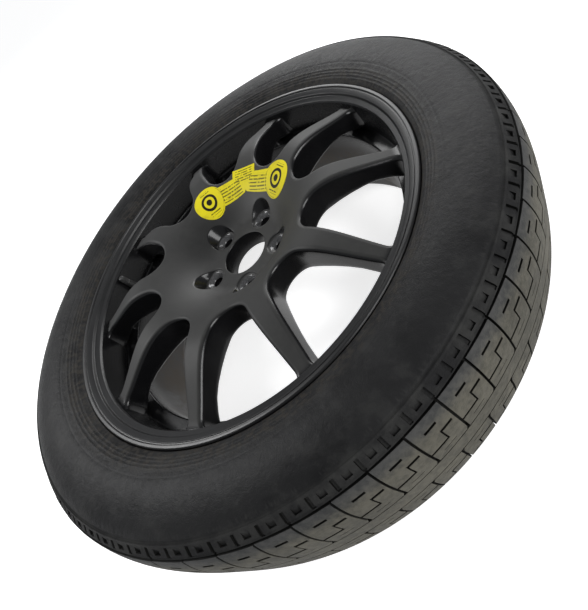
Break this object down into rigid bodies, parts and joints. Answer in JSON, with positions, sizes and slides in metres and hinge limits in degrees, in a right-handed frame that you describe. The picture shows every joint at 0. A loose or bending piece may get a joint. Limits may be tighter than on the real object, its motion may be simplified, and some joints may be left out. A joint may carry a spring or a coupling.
{
  "type": "spare wheel",
  "caption": "Temporary spare wheel: narrow block-tread tyre on a black spoked alloy wheel, with rubber valve and round-ended sticker.",
  "frame": {"origin": "centre of the bore at the face that seats on the car's hub", "axes": "+Z along the axle, outboard towards the styled face; +X through the middle of one bolt hole"},
  "size_m": [0.777, 0.777, 0.1984],
  "materials": {
    "tyre": "smooth sidewall, dusty tread",
    "wheel_paint": "satin black paint",
    "sticker": "yellow film with dark rings",
    "valve_rubber": "moulded, satin",
    "brass": "machined",
    "spring_steel": "drawn wire",
    "gasket": "moulded",
    "cap_plastic": "moulded, black"
  },
  "bodies": {
    "wheel": {"tyre": "tyre", "wheel": "wheel_paint", "sticker": "sticker", "valve_body": "valve_rubber", "valve_stem": "brass", "core_plug": "brass", "core_gasket": "gasket", "spring_seat": "brass", "core_spring": "spring_steel"},
    "plunger": {"core_pin": "brass", "core_cup": "gasket"},
    "seal": {"cap_seal": "gasket"},
    "cap": {"valve_cap": "cap_plastic"}
  },
  "joints": [
    {"name": "plunger_press", "type": "slide", "parent": "wheel", "child": "plunger", "axis": [0, 0, -1], "range_m": [0, 0.0015], "stiffness_N_per_m": 1500, "springref_m": -0.0027, "deforming": ["core_spring"]},
    {"name": "cap_lift", "type": "slide", "parent": "wheel", "child": "seal", "axis": [0, 0, 1], "range_m": [0, 0.00556]},
    {"name": "cap_turn", "type": "hinge", "parent": "seal", "child": "cap", "pos_m": [-0.24055, 0.0084, 0.03], "axis": [0, 0, 1], "range_deg": [0, 2520]}
  ],
  "couplings": [
    {"joint": "cap_turn", "follows": "cap_lift", "rad_per_m": 7916.2}
  ]
}
